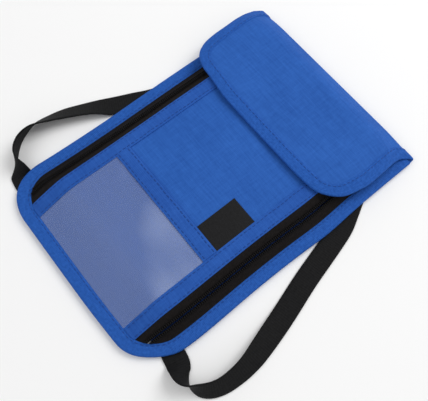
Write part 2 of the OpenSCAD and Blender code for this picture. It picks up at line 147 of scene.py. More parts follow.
def make_piece(name, shape, finish, uv=None, sharp=35):
    """A named object with its place in its mesh, smooth except across sharp edges."""
    points, faces = shape
    mesh = bpy.data.meshes.new(name)
    mesh.from_pydata(to_frame(points).tolist(), [], outward(points, faces))
    mesh.shade_smooth()
    mesh.set_sharp_from_angle(angle=math.radians(sharp))
    if uv is not None:
        corners = np.empty(len(mesh.loops), int)
        mesh.loops.foreach_get("vertex_index", corners)
        layer = mesh.uv_layers.new(name="along")
        layer.data.foreach_set("uv", (np.asarray(uv, float)[corners] / 1000).ravel())
    mesh.materials.append(finish)
    piece = bpy.data.objects.new(name, mesh)
    bpy.context.scene.collection.objects.link(piece)
    return piece


made = []


def place(piece, body, slot, *nodes):
    """The piece moves with a body, or is baked in place for the fold, and hides the CAD nodes it
    stands for; the slot is not used.
    """
    if body == "fold":
        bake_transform(piece)
    else:
        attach(piece, body)
    if nodes:
        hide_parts(*nodes)
    made.append(piece)
    print(f"{piece.name}: {len(piece.data.vertices)} points")
    return piece


FOLD_START = tuple(to_frame([0, 204.5, 3.0]))
FOLD_END = tuple(to_frame([0, 200.5, 9.0]))
print("the flap's cloth turns between", FOLD_START, "and", FOLD_END)

# %% [markdown]
# ## Materials: the shared tools
# A finish is a small network of nodes. Colours are written as the hex values that a colour
# chart shows, and one function turns them into the linear light that Blender counts in.
# Another adds a node with its settings and its links, so each finish reads as a short list.

# %% Material tools
def linear(code):
    """A hex colour as linear light."""
    parts = [int(code[i:i + 2], 16) / 255 for i in (1, 3, 5)]
    return [c / 12.92 if c <= 0.04045 else ((c + 0.055) / 1.055) ** 2.4 for c in parts] + [1.0]


def add(tree, kind, settings=None, inputs=None):
    """One node: its settings by name, and its inputs as values or as sockets to link."""
    node = tree.nodes.new(kind)
    for key, value in (settings or {}).items():
        setattr(node, key, value)
    for key, value in (inputs or {}).items():
        if isinstance(value, bpy.types.NodeSocket):
            tree.links.new(value, node.inputs[key])
        else:
            node.inputs[key].default_value = value
    return node


def start_finish(name):
    """An empty material, its tree and its shader, linked to the output."""
    finish = bpy.data.materials.new(name)
    finish.use_nodes = True
    tree = finish.node_tree
    tree.nodes.clear()
    shader = add(tree, "ShaderNodeBsdfPrincipled")
    add(tree, "ShaderNodeOutputMaterial", inputs={"Surface": shader.outputs[0]})
    return finish, tree, shader


def set_shader(shader, **values):
    """Plain values on the shader's own sockets, with _ for a space in a socket's name."""
    for key, value in values.items():
        shader.inputs[key.replace("_", " ")].default_value = value


def ramp_colours(tree, factor, low, high, a=0.0, b=1.0):
    """A colour that runs from low to high as the factor runs from a to b."""
    ramp = add(tree, "ShaderNodeValToRGB", inputs={"Fac": factor})
    for stop, (position, colour) in zip(ramp.color_ramp.elements, ((a, low), (b, high))):
        stop.position, stop.color = position, linear(colour)
    return ramp.outputs["Color"]


def raise_bumps(tree, shader, height, depth_mm, strength=1.0):
    """Bumps of that depth in millimetres under the shader."""
    bump = add(tree, "ShaderNodeBump", inputs={"Height": height, "Strength": strength,
                                               "Distance": depth_mm / 1000})
    tree.links.new(bump.outputs[0], shader.inputs["Normal"])


WAVE = 100 * math.pi  # scale of a wave texture whose bands are 1 mm apart
print("blue cloth in linear light:", [round(c, 3) for c in linear("#2f62b4")[:3]])

# %% [markdown]
# ## Woven cloth
# The outer cloth is a polyester plain weave of threads about 0.3 mm apart, too fine to show
# at this distance. What the eye does see are slubs: threads a little thicker or darker than
# the rest, which draw faint streaks along the weft and fainter ones along the warp. Noise that
# is stretched along each thread direction makes them. Slow noise under both is the uneven
# dye. The weave itself is only a shallow bump, drawn 0.8 mm apart. The cloth is matt.

# %% Woven cloth
def weighted_sum(tree, parts):
    """The sum of sockets, each times its weight."""
    total = 0.0
    for socket, weight in parts:
        total = add(tree, "ShaderNodeMath", {"operation": "MULTIPLY_ADD"},
                    {0: socket, 1: weight, 2: total}).outputs[0]
    return total


def stretched_noise(tree, place_in, per_metre, detail=2.0):
    """Noise with so many features in a metre along x, y and z."""
    mapped = add(tree, "ShaderNodeMapping", inputs={"Vector": place_in, "Scale": per_metre})
    return add(tree, "ShaderNodeTexNoise", {"noise_dimensions": "3D"},
               {"Vector": mapped.outputs[0], "Scale": 1.0, "Detail": detail}).outputs["Fac"]


def woven_cloth(name, dark, light, thread=0.8, depth=0.06, rough=0.75):
    """A plain weave between two colours, its threads and depth in millimetres."""
    finish, tree, shader = start_finish(name)
    place_in = add(tree, "ShaderNodeTexCoord").outputs["Object"]
    weft = stretched_noise(tree, place_in, (90, 800, 300))
    warp = stretched_noise(tree, place_in, (900, 160, 300))
    dye = stretched_noise(tree, place_in, (35, 50, 50), 3.0)
    tone = weighted_sum(tree, ((weft, 0.45), (warp, 0.35), (dye, 0.35)))
    tree.links.new(ramp_colours(tree, tone, dark, light, 0.38, 0.77),
                   shader.inputs["Base Color"])
    waves = []
    for axis in ("X", "Y"):
        wave = add(tree, "ShaderNodeTexWave",
                   {"wave_type": "BANDS", "bands_direction": axis, "wave_profile": "SIN"},
                   {"Vector": place_in, "Scale": WAVE / thread,
                    "Distortion": 0.6, "Detail": 1.0, "Detail Scale": 2.0})
        waves.append(wave.outputs["Fac"])
    relief = weighted_sum(tree, ((waves[0], 0.4), (waves[1], 0.4), (weft, 1.6), (warp, 1.0)))
    raise_bumps(tree, shader, relief, depth)
    set_shader(shader, Roughness=rough, Specular_IOR_Level=0.15)
    return finish


outer_cloth = woven_cloth("woven polyester cloth", "#2052a2", "#2d63b8")
trim_cloth = woven_cloth("polyester hem tape", "#1d4c9c", "#2a5db2", thread=1.0, depth=0.1)
lining_cloth = woven_cloth("thin nylon lining", "#183c80", "#234b94", thread=0.7, depth=0.04,
                           rough=0.5)
print("three woven cloths")

# %% [markdown]
# ## Tapes that follow a path
# Grosgrain binding and webbing are woven narrow, and their ribs run straight across them.
# The ribs have to turn with the tape, so these finishes read the piece's own map, where the
# first number runs along the tape and the second across it, both in metres.

# %% Ribbed tapes
def ribbed_tape(name, dark, light, rib, depth, rough=0.75, gloss=0.12):
    """A narrow weave between two colours, with ribs across it so many millimetres apart."""
    finish, tree, shader = start_finish(name)
    along = add(tree, "ShaderNodeUVMap", {"uv_map": "along"}).outputs[0]
    ribs = add(tree, "ShaderNodeTexWave",
               {"wave_type": "BANDS", "bands_direction": "X", "wave_profile": "SIN"},
               {"Vector": along, "Scale": WAVE / rib, "Distortion": 0.35, "Detail": 1.0,
                "Detail Scale": 3.0}).outputs["Fac"]
    yarns = stretched_noise(tree, along, (180, 1100, 1))
    tufts = stretched_noise(tree, along, (620, 620, 1), 1.0)
    shares = (0.12, 0.35, 0.6)
    tone = weighted_sum(tree, zip((ribs, yarns, tufts), shares))
    middle = sum(shares) / 2
    tree.links.new(ramp_colours(tree, tone, dark, light, middle - 0.2, middle + 0.2),
                   shader.inputs["Base Color"])
    relief = weighted_sum(tree, ((ribs, 0.7), (yarns, 0.8), (tufts, 1.0)))
    raise_bumps(tree, shader, relief, depth)
    set_shader(shader, Roughness=rough, Specular_IOR_Level=gloss)
    return finish


binding_tape = ribbed_tape("grosgrain binding", "#1d4d9c", "#2b61b8", 0.9, 0.14)
black_webbing = ribbed_tape("black polyester webbing", "#0c0c0d", "#171718", 1.4, 0.14)
zip_tape = ribbed_tape("zip tape", "#0f0d0d", "#1b1818", 1.0, 0.05, gloss=0.08)
label_weave = ribbed_tape("damask label", "#0c0c0d", "#161618", 0.8, 0.05, 0.5)
print("binding, webbing, zip tape and label")

# %% [markdown]
# ## Vinyl, nylon, zinc and the closure
# The window is soft clear vinyl. It hangs free of the cloth under it and is slightly hazy, so
# part of the light stops at its surface: a low alpha carries that, and its skin stays glossy.
# The coil is nylon line with a smooth skin. The sliders are cast zinc under black paint.
# Loop tape is a felt of tiny loops, and the liner is a film with an aluminium face that
# creases finely when it is handled. Nylon, zinc, felt and thread are each one fine noise at
# its own scale, which colours the skin and may raise it, so one helper makes all four.

# %% Clear vinyl
vinyl, tree, shader = start_finish("soft clear vinyl")
where = add(tree, "ShaderNodeTexCoord").outputs["Object"]
cloudy = stretched_noise(tree, where, (24, 40, 20), 1.0)
split = add(tree, "ShaderNodeSeparateXYZ", inputs={"Vector": where})
# Colour: random cloudy haze, plus a painted reflection that brightens the sheet toward +x and +y,
# the side of the lamp behind.
haze_and_painted_reflection = weighted_sum(tree, ((cloudy, 0.5), (split.outputs[0], 2.5), (split.outputs[1], 5.0)))
tree.links.new(ramp_colours(tree, haze_and_painted_reflection, "#8094c6", "#c6d4f2", -0.25, 0.25),
               shader.inputs["Base Color"])
set_shader(shader, Roughness=0.3, Alpha=0.31, IOR=1.53, Specular_IOR_Level=0.3)
print("vinyl lets through", round(1 - shader.inputs["Alpha"].default_value, 2), "of the light")

# %% Grained finishes
def grained(name, grains, detail, dark, light, span=(0.0, 1.0), depth=0.0, crisp=0.5, **surface):
    """A finish with so many grains in a metre, raised by a depth in millimetres."""
    finish, tree, shader = start_finish(name)
    place_in = add(tree, "ShaderNodeTexCoord").outputs["Object"]
    grain = add(tree, "ShaderNodeTexNoise", {"noise_dimensions": "3D"},
                {"Vector": place_in, "Scale": grains, "Detail": detail,
                 "Roughness": crisp}).outputs["Fac"]
    tree.links.new(ramp_colours(tree, grain, dark, light, *span), shader.inputs["Base Color"])
    if depth:
        raise_bumps(tree, shader, grain, depth)
    set_shader(shader, **surface)
    return finish


nylon = grained("nylon coil", 900.0, 2.0, "#0b0a0a", "#161414", Roughness=0.7, IOR=1.53,
                Specular_IOR_Level=0.12)
zinc = grained("black painted zinc", 2500.0, 3.0, "#0e0e10", "#1d1d20", depth=0.03,
               Roughness=0.32, IOR=1.5, Coat_Weight=0.4, Coat_Roughness=0.2)
loop_felt = grained("loop felt", 1600.0, 4.0, "#0d0d0e", "#2a2a2d", (0.3, 0.7), 0.5, 0.7,
                    Roughness=0.95, Specular_IOR_Level=0.2)
# The thread is darker than the cloth: partly its own colour, partly painted shade for the shadow
# that lies along the sunk seams.
thread = grained("polyester thread", 3000.0, 1.0, "#173a7e", "#224c96", Roughness=0.6,
                 Specular_IOR_Level=0.2)
black_thread = grained("black polyester thread", 3000.0, 1.0, "#0c0c0d", "#19191b",
                       Roughness=0.6, Specular_IOR_Level=0.2)
print("nylon, zinc, felt and two threads")

# %% Shielding film
foil, tree, shader = start_finish("metallised shielding film")
where = add(tree, "ShaderNodeTexCoord").outputs["Object"]
creases = add(tree, "ShaderNodeTexVoronoi", {"feature": "F1", "distance": "EUCLIDEAN"},
              {"Vector": where, "Scale": 140.0})
tree.links.new(ramp_colours(tree, creases.outputs["Distance"], "#8d9095", "#b9bcc1"),
               shader.inputs["Base Color"])
raise_bumps(tree, shader, creases.outputs["Distance"], 0.6)
set_shader(shader, Metallic=0.85, Roughness=0.38)
print(len(bpy.data.materials), "materials so far")

# %% [markdown]
# ## Neck strap
# The strap is 13 mm black webbing, woven flat and about 1 mm thick. Both ends are sewn to the
# back near its top corners, and the loop goes over the head. Here it lies loose on a table:
# down the left side, over on its edge at the corner, in under the back, out at the right
# corner with half a twist, and up the right side. A flat cord bends easily only about its
# own width, so it stands on edge where it turns sharply. Its route is a list of points with
# a turn at each, and one smooth curve runs through them.

# %% The strap's route
STRAP_W, STRAP_T = 13.0, 1.0
route = np.array([
    [-53.5, 188, 0], [-54.3, 176, 0], [-55.6, 160, 0], [-57.8, 141, 0], [-61, 122, 0],
    [-65.2, 107, 0], [-70.8, 94.6, 0], [-76, 83, 0], [-80.8, 73.4, 24], [-85, 64, 31],
    [-88.2, 56, 34], [-90.6, 47.6, 44], [-92.5, 38.5, 56], [-91.8, 32, 70], [-89.5, 25.8, 79],
    [-86, 21, 84], [-81.6, 17.3, 84], [-77, 15, 70], [-73.2, 13.8, 38], [-69.8, 12.9, 0],
    [-63, 12.2, 0], [-52, 13, 0], [-41, 19, 0], [-32.5, 32, 0], [-28, 52, 0], [-27, 80, 0],
    [-27, 108, 0], [-27, 135, 0], [-19.1, 154.1, 0], [0, 162, 0], [19.1, 154.1, 0],
    [27, 135, 0], [27, 108, 0], [27.5, 80, 0], [29.5, 56, 0], [36, 38, 0], [47, 27.5, 0],
    [59, 23, 0], [66.5, 21, 0], [71.8, 20, 0], [75.4, 18.9, -22], [78.7, 17.5, -46],
    [82, 16.9, -64], [85.5, 17.3, -88], [89.2, 19.3, -112], [92.6, 22.3, -124],
    [95.3, 26.8, -129], [97, 33, -133], [97.5, 41.4, -139], [97, 48.5, -145], [95.4, 57, -155],
    [89.7, 79.4, -180], [83, 102.5, -180], [79.4, 117, -180], [76.2, 130, -180],
    [72.9, 141.3, -180], [68.2, 151, -180], [63.2, 161, -180], [58, 173, -180],
    [54.6, 181, -180], [53.5, 188, -180]], float)


def smooth_route(points, steps):
    """A curve through every point, with the turn running evenly between them."""
    padded = np.concatenate([points[:1], points, points[-1:]])
    line = []
    for p0, p1, p2, p3 in zip(padded, padded[1:], padded[2:], padded[3:]):
        for t in np.arange(steps) / steps:
            place_at = 0.5 * (2 * p1 + (p2 - p0) * t + (2 * p0 - 5 * p1 + 4 * p2 - p3) * t ** 2
                              + (3 * p1 - p0 - 3 * p2 + p3) * t ** 3)
            place_at[2] = p1[2] * (1 - t) + p2[2] * t
            line.append(place_at)
    return np.array(line + [points[-1]])


strap_line = smooth_route(route, 8)
strap_turn = np.radians(np.convolve(np.pad(strap_line[:, 2], 4, mode="edge"), np.ones(9) / 9,
                                    mode="valid"))
strap_turn = np.where(np.abs(strap_line[:, 0]) < 71.5, np.radians(strap_line[:, 2]), strap_turn)
ends = np.minimum(np.arange(len(strap_line)), np.arange(len(strap_line))[::-1])
lift = np.clip(1 - ends / 8, 0, 1) * (Z_BACK - STRAP_T)
strap_height = (STRAP_W / 2 * np.abs(np.sin(strap_turn))
                + STRAP_T / 2 * np.abs(np.cos(strap_turn)) + lift)
strap_path = np.column_stack([strap_line[:, :2], strap_height])

# %% The strap's webbing
ahead = np.gradient(strap_line[:, :2], axis=0)
ahead /= np.linalg.norm(ahead, axis=1)[:, None]
leftward = np.column_stack([-ahead[:, 1], ahead[:, 0], np.zeros(len(ahead))])
upward = np.array([0, 0, 1.0])
cosine, sine = np.cos(strap_turn)[:, None], np.sin(strap_turn)[:, None]
across = leftward * cosine + upward * sine
thick = -leftward * sine + upward * cosine
half, edge = STRAP_W / 2, STRAP_T / 2
section = [(half, -0.2), (half, 0.2), (half - 0.3, edge), (half - 2, edge * 0.93), (0, edge),
           (2 - half, edge * 0.93), (0.3 - half, edge), (-half, 0.2), (-half, -0.2),
           (0.3 - half, -edge), (2 - half, -edge * 0.93), (0, -edge), (half - 2, -edge * 0.93),
           (half - 0.3, -edge)]
rings = np.stack([strap_path + across * a + thick * b for a, b in section], axis=1)
travel = np.concatenate([[0], np.cumsum(np.linalg.norm(np.diff(strap_path, axis=0), axis=1))])
strap_map = np.stack([np.column_stack([travel, np.full(len(travel), a + 0.4 * b)])
                      for a, b in section], axis=1).reshape(-1, 2)
strap = make_piece("neck_strap_webbing", sweep(rings), black_webbing, strap_map, sharp=60)
place(strap, "pouch", "webbing", "neck_strap")
tuple(to_frame(strap_path[0]))
to_frame(strap_path).tolist()

# %% [markdown]
# ## The filled front
# The front is one curved surface. Filled with a passport and notes it is nearly flat, falls
# away to the bound edge past the zips, and slopes down at its foot and at its open top. Each
# slope is a simple height, and the lowest of them counts, with the creases rounded off. All
# the cloth layers of the front are laid on this one surface, so they stay in touch.

# %% Height of the front
def softer_min(a, b, blend_mm):
    """The smaller of two heights, with the crease between them rounded."""
    share = np.clip(0.5 + 0.5 * (b - a) / blend_mm, 0, 1)
    return b * (1 - share) + a * share - blend_mm * share * (1 - share)


def front_height(x, y):
    """The height of the front's cloth: the lowest of its crown, sides, foot and mouth."""
    side_x = np.abs(x)
    corner = np.hypot(side_x - (HALF_WIDTH - CORNER), CORNER - y)
    in_corner = (side_x > HALF_WIDTH - CORNER) & (y < CORNER)
    inset = np.where(in_corner, CORNER - BINDING - corner, BOUND_X - side_x)
    crown = FILL - CROWN * (side_x / HEM_X) ** 2
    t = (y - BINDING) / FOOT
    rise = np.where(t < 1, 1.1 * t + 0.6 * t ** 2 - 0.66 * t ** 3, 1.04 + 0.32 * (t - 1))
    foot = Z_EDGE + (FILL - Z_EDGE) * rise
    m = (y - MOUTH_Y + 32) / 32
    mouth = FILL - 1.7 * (-0.35 + 1.3 * m + 0.05 * m ** 2)
    top = softer_min(crown, Z_EDGE + inset * SIDE_SLOPE, 1.0)
    top = softer_min(softer_min(top, foot, 1.0), mouth, 0.8)
    slack = np.clip((inset - 3) / 8, 0, 1) * np.clip((y - 12) / 12, 0, 1)
    sway = (0.07 * np.sin(x / 10.5 + y / 17 + 0.6) + 0.05 * np.sin(x / 6.3 - y / 11 + 2.1)
            + 0.05 * np.sin(y / 5.2 + x / 29 + 1.0))
    return np.maximum(top, Z_EDGE) + sway * slack


def settled(points):
    """The cloth as it lies: the left foot spread, the right one drawn in, the sides bowed."""
    moved = np.array(points, float)
    x, y = moved[..., 0].copy(), moved[..., 1].copy()
    spread = 2.5 * np.exp(-(np.hypot(x + HALF_WIDTH, y) / 20) ** 2)
    drawn_in = 3.4 * np.exp(-(np.hypot(x - 72, y - 6) / 18) ** 2)
    foot_sag = 0.85 * np.exp(-(y / 14) ** 2) * np.exp(-((x + 8) / 42) ** 4)
    bow = np.where(x > 0, np.exp(-((y - 132) / 18) ** 2) - 0.6 * np.exp(-((y - 80) / 26) ** 2),
                   0.8 * np.exp(-((y - 68) / 38) ** 2))
    moved[..., 0] += -0.7 * (spread + drawn_in) + bow * np.clip((np.abs(x) - 35) / 30, 0, 1)
    moved[..., 1] += 0.7 * (drawn_in - spread) - foot_sag
    return moved


print("front heights along the middle:",
      [round(float(front_height(np.array(0.0), np.array(float(v)))), 2)
       for v in (8, 20, 36, 100, 170, 190)])

# %% Cut a cloth layer to the pouch's outline
def pouch_rows(inset, y_from, y_to, step=2.2):
    """Heights of the rows of a layer, and how far the inset outline reaches at each."""
    r = CORNER - inset
    arc = CORNER - r * np.cos(np.linspace(0, math.pi / 2, 22))
    straight = np.arange(CORNER + step, y_to - step / 2, step)
    y = np.concatenate([arc, straight, [y_to]])
    y = np.concatenate([[max(y_from, inset)], y[y > max(y_from, inset) + 0.15]])
    depth = np.clip(CORNER - y, 0, r)
    return y, HALF_WIDTH - CORNER + np.sqrt(np.maximum(r * r - depth * depth, 0))


def front_layer(low, high, x0, x1, y0, y1, inset=1.3, cell=2.2, swell=None):
    """A layer between two heights above the front, from x0 to x1 and from y0 to y1."""
    y, reach_x = pouch_rows(inset, y0, y1)
    nearest = 0.0 if x0 < 0 < x1 else min(abs(x0), abs(x1))
    keep = reach_x > nearest + 0.3
    y, reach_x = y[keep], reach_x[keep]
    left, right_x = np.maximum(x0, -reach_x), np.minimum(x1, reach_x)
    share = np.linspace(0, 1, max(3, int(round((x1 - x0) / cell)) + 1))
    x = left[:, None] + (right_x - left)[:, None] * share
    y = np.broadcast_to(y[:, None], x.shape)
    base = front_height(x, y)
    top = base + high + (swell(x, y) if swell else 0)
    return slab(settled(np.stack([x, y, top], -1)), settled(np.stack([x, y, base + low], -1)))


print("rows of the front:", len(pouch_rows(1.3, 0, MOUTH_Y)[0]))

# %% [markdown]
# ## Cloth of the front
# The middle of the front is one piece of cloth that runs from the bottom edge up to the open
# top. Its free edge there is turned over and hemmed. Hem strips cover the joins with the zip
# tapes, and a band closes the top of the window. A real bag maker sews them flat and turns
# the bag, so each strip lies on the cloth with a soft, slightly raised edge.

# %% Front cloth, hem strips and band
def puffed(x0, x1, rise=0.22):
    """A strip whose middle stands a little proud of its two sewn edges."""
    return lambda x, y: rise * np.sin(math.pi * np.clip((x - x0) / (x1 - x0), 0, 1))


front_cloth = place(make_piece("front_cloth", front_layer(
    -0.7, 0, -45, 45, 1.3, MOUTH_Y), outer_cloth), "pouch", "outer_cloth", "front_panel")
for side, name in ((-1, "left"), (1, "right")):
    x0, x1 = sorted((side * WINDOW_X, side * HEM_X))
    place(make_piece(f"{name}_hem_tape", front_layer(
        0, 0.6, x0, x1, BINDING, MOUTH_Y, BINDING, 1.5, puffed(x0, x1)), trim_cloth),
        "pouch", "trim_cloth", f"{name}_hem_strip")
place(make_piece("window_top_band", front_layer(
    0.05, 1.0, -WINDOW_X, WINDOW_X, WINDOW_Y, WINDOW_Y + BAND, BINDING, 2.0,
    lambda x, y: 0.2 * np.sin(math.pi * (y - WINDOW_Y) / BAND)), trim_cloth),
    "pouch", "trim_cloth", "window_band")
place(make_piece("front_mouth_hem", front_layer(
    0, 0.6, -WINDOW_X, WINDOW_X, MOUTH_Y - 6, MOUTH_Y), trim_cloth),
    "pouch", "trim_cloth", "mouth_hem")

# %% [markdown]
# ## Clear window and label
# The window is a loose sheet of vinyl, sewn in at three sides under the binding and the hem
# strips, and closed by the band at its top. Vinyl keeps the waves that it was packed with, so
# the sheet swells off the cloth between its seams and carries a soft curl near its top left.
# The label is a bare black damask patch, folded under and caught in the right hem.

# %% Window and label
def vinyl_swell(x, y):
    """How far the vinyl stands off the cloth: slow waves, and a curl near its top left."""
    free = (np.clip((WINDOW_X - np.abs(x)) / 9, 0, 1) * np.clip((y - BINDING) / 9, 0, 1)
            * np.clip((WINDOW_Y + 2 - y) / 7, 0, 1))
    waves = (0.45 + 0.3 * np.sin(x / 9.0 + 0.8) * np.cos(y / 12.0)
             + 0.2 * np.sin(y / 6.0 + x / 14.0))
    curl = 1.1 * np.exp(-(((x + 31) * 0.7 + (y - 57) * 0.7) ** 2 / 9.0
                          + ((x + 31) * 0.7 - (y - 57) * 0.7) ** 2 / 120.0))
    return free * waves * 0.7 + curl * np.clip((WINDOW_X - np.abs(x)) / 3, 0, 1) * np.clip(
        (WINDOW_Y + 1 - y) / 3, 0, 1)


window = place(make_piece("window_vinyl", front_layer(
    0.15, 0.45, -WINDOW_X, WINDOW_X, BINDING, WINDOW_Y + 1.5, BINDING, 1.6, vinyl_swell),
    vinyl), "pouch", "clear_vinyl", "window_sheet")
label = front_layer(0, 0.5, WINDOW_X - LABEL_W, WINDOW_X, WINDOW_Y + BAND,
                    WINDOW_Y + BAND + LABEL_L, cell=1.2)
label_map = label[0][:, [0, 1]]
place(make_piece("blank_label", label, label_weave, label_map), "pouch", "label_weave",
      "woven_label")

# %% [markdown]
# ## Zip tapes
# A zip's tape is a flat woven ribbon, and the coil is sewn along its inner edge. Each zip has
# two, with a narrow slit between them where the slider's post runs.

# %% Zip tapes
for side, name in ((-1, "left"), (1, "right")):
    for part, a, b in (("inner", 45.0, ZIP_X - 0.4), ("outer", ZIP_X + 0.4, 69.0)):
        x0, x1 = sorted((side * a, side * b))
        shape = front_layer(-0.7, 0, x0, x1, 1.3, MOUTH_Y, cell=1.3)
        across_map = shape[0][:, [1, 0]]
        place(make_piece(f"{name}_{part}_tape", shape, zip_tape, across_map),
              "pouch", "zip_tape", f"{name}_zip_tape_{part}")

# %% [markdown]
# ## Back, liner and sleeve
# The back is the pouch's longest cloth: at the fold it turns up and over and becomes the flap.
# Inside it lie a metallised liner, which shields the chips in cards, and a thin sleeve that
# holds a passport flat against the back.

# %% The fold's line, from the back up to the flap's free edge
FOLD_R, FOLD_Z, BROW, FLAP_TOP, FLAP_Y = 3.5, 5.0, 16.0, 14.9, 136.5
FOLD_TURN = math.radians(55)


def even_line(points, count=600):
    """Points spaced evenly along a line, with the distance to each."""
    points = np.asarray(points, float)
    run = np.concatenate([[0], np.cumsum(np.linalg.norm(np.diff(points, axis=0), axis=1))])
    at = np.linspace(0, run[-1], count)
    return at, np.column_stack([np.interp(at, run, points[:, k]) for k in (0, 1)])


curl = np.linspace(-math.pi / 2, FOLD_TURN, 40)
fold_y = TOP_Y - 0.7  # the roll settles a little in the middle
ramp_l = ((FLAP_TOP - FOLD_Z - FOLD_R * math.sin(FOLD_TURN)
           - BROW * (1 - math.cos(math.pi / 2 - FOLD_TURN))) / math.cos(FOLD_TURN))
brow_y = (fold_y + FOLD_R * math.cos(FOLD_TURN) - ramp_l * math.sin(FOLD_TURN)
          - BROW * math.sin(math.pi / 2 - FOLD_TURN))
brow = np.linspace(FOLD_TURN, math.pi / 2, 30)
middle_line = np.concatenate([
    np.column_stack([fold_y + FOLD_R * np.cos(curl), FOLD_Z + FOLD_R * np.sin(curl)]),
    np.column_stack([brow_y + BROW * np.cos(brow), FLAP_TOP - BROW + BROW * np.sin(brow)]),
    [[FLAP_Y, FLAP_TOP]]])
along_s, middle_line = even_line(middle_line)
FLAP_S = along_s[-1]
edge_line = even_line(smooth_route(np.array([
    [201, 1.5, 0], [202.8, 1.55, 0], [204.2, 2.1, 0], [204.6, 3.0, 0], [204.0, 3.8, 0],
    [202.2, 4.4, 0], [199.2, 5.1, 0], [194.8, 6.4, 0], [190, 7.7, 0], [182, 9.4, 0],
    [169, 10.8, 0], [152, 11.5, 0], [FLAP_Y, 11.9, 0]], float), 8)[:, :2])[1]
print("cloth from the back's top to the flap's edge:", round(FLAP_S, 1), "mm")

# %% [markdown]
# ## Surface of the flap
# In the middle the fold is a round roll over the filled front. At the sides nothing holds it
# open, so it creases flat, and the bound edges hang down toward the binding below. The flap
# is worked out as a sheet with two numbers for each point, u across it and s along it, and it
# is mixed from a rounded line in the middle and a creased one at its edges.

# %% Flap surface
FLAP_HALF, FLAP_R = 68.5, 18.0


def flap_surface(u, s):
    """The flap's outer surface, for u across it and s along it from the fold's underside."""
    side_u = np.clip((np.abs(u) - 44) / (FLAP_HALF - 44), 0, 1.15)
    share = side_u ** 2 * (0.9 + 0.1 * side_u)
    y = np.interp(s, along_s, middle_line[:, 0]) * (1 - share) + share * np.interp(
        s, along_s, edge_line[:, 0])
    z = np.interp(s, along_s, middle_line[:, 1]) * (1 - share) + share * np.interp(
        s, along_s, edge_line[:, 1])
    right_edge = np.interp(s, [0, 5.5, 9, 14, 20, 30, 45, 52, 60, 78],
                           [69.8, 69.3, 66.8, 64.5, 64.2, 64.7, 65.3, 64.5, 63.6, 63.2])
    left_edge = np.interp(s, [0, 5.5, 12, 21, 30, 40, 49, 56, 64, 78],
                          [-69.8, -71.9, -74.4, -74.8, -74.3, -73.4, -73.0, -72.3, -70.8, -70.2])
    x = (right_edge + left_edge) / 2 + u * (right_edge - left_edge) / (2 * FLAP_HALF)
    # The right free corner is rounder than the left, and the left one is drawn up a little
    tuck = 3.6 * np.exp(-(np.hypot(u - FLAP_HALF, s - FLAP_S) / 20) ** 2)
    toward_left = np.clip((-u - 24) / 32, 0, 1)
    drawn = (3.4 * toward_left ** 2 * (3 - 2 * toward_left)
             * np.clip((s - 35) / 40, 0, 1) ** 2)
    x, y = x - 0.7 * tuck, y + 0.7 * tuck + drawn
    slack = np.clip((s - 16) / 14, 0, 1)
    z = z + slack * (0.12 * np.sin(u / 12 + s / 19) + 0.10 * np.sin(u / 7.5 - s / 9 + 1.3)
                     + 0.06 * np.sin(s / 4.1 + u / 21))
    return np.stack([x, y, z], -1)


def flap_point(u, s, depth):
    """A point that lies a depth in millimetres under the flap's outer surface."""
    du = flap_surface(u + 0.25, s) - flap_surface(u - 0.25, s)
    ds = flap_surface(u, np.minimum(s + 0.4, FLAP_S)) - flap_surface(u, np.maximum(s - 0.4, 0))
    normal = np.cross(ds, du)
    normal /= np.linalg.norm(normal, axis=-1, keepdims=True)
    return flap_surface(u, s) - normal * np.asarray(depth)[..., None]


def flap_layer(shallow, deep, s0, inset=1.0, cell=2.2):
    """A layer between two depths under the flap, from s0 to its free edge."""
    r = FLAP_R - inset
    last = FLAP_S - inset
    fine = np.arange(s0, 20, 0.55)
    coarse = np.arange(max(20, s0), FLAP_S - FLAP_R, cell)
    arc = FLAP_S - FLAP_R + r * np.sin(np.linspace(0, math.pi / 2, 20))
    s = np.concatenate([fine, coarse, arc])
    s = s[(s >= s0) & (s < last - 0.1)]
    s = np.concatenate([s, [last]])
    past = np.clip(s - (FLAP_S - FLAP_R), 0, r)
    reach_u = FLAP_HALF - FLAP_R + np.sqrt(np.maximum(r * r - past * past, 0))
    u = reach_u[:, None] * np.linspace(-1, 1, int(2 * reach_u[0] / cell) + 1)
    s = np.broadcast_to(s[:, None], u.shape)
    return slab(flap_point(u, s, shallow), flap_point(u, s, deep))


print("flap's middle near its free edge:", flap_surface(np.array(0.0), np.array(70.0)).round(2))

# %% Back cloth up to the fold, liner and sleeve
y, reach_x = pouch_rows(1.3, 0, TOP_Y - 0.8, 3.0)
x = reach_x[:, None] * np.linspace(-1, 1, 50)
rows_y = np.broadcast_to(y[:, None], x.shape)
flat_top = np.stack([x, rows_y, np.full(x.shape, Z_LINER)], -1)
flat_low = np.stack([x, rows_y, np.full(x.shape, Z_BACK)], -1)
s = np.linspace(0.5, 4.6, 9)
u = np.broadcast_to(reach_x[-1] / 70 * FLAP_HALF * np.linspace(-1, 1, 50), (9, 50))
s = np.broadcast_to(s[:, None], u.shape)
back_shape = slab(np.concatenate([settled(flat_top), flap_point(u, s, 0.8)]),
                  np.concatenate([settled(flat_low), flap_point(u, s, 0.0)]))
back_cloth = place(make_piece("back_cloth", back_shape, outer_cloth, sharp=50), "pouch",
                   "outer_cloth", "back_panel")


def flat_layer(low, high, inset, y_end):
    """A flat sheet inside the pouch between two heights, with a faint sway on its face."""
    y, reach_x = pouch_rows(inset, 0, y_end, 3.0)
    x = reach_x[:, None] * np.linspace(-1, 1, 46)
    y = np.broadcast_to(y[:, None], x.shape)
    sway = 0.05 * np.sin(x / 9 + y / 14) * np.ones(x.shape)
    return slab(settled(np.stack([x, y, high + sway], -1)),
                settled(np.stack([x, y, np.full(x.shape, low)], -1)))


liner = place(make_piece("shielding_film", flat_layer(Z_LINER, 2.52, 1.5, 199.5), foil),
              "pouch", "shield_film", "shield_liner")
sleeve = place(make_piece("passport_pocket", flat_layer(2.62, 2.85, 10, 150), lining_cloth),
               "pouch", "lining_cloth", "passport_sleeve")

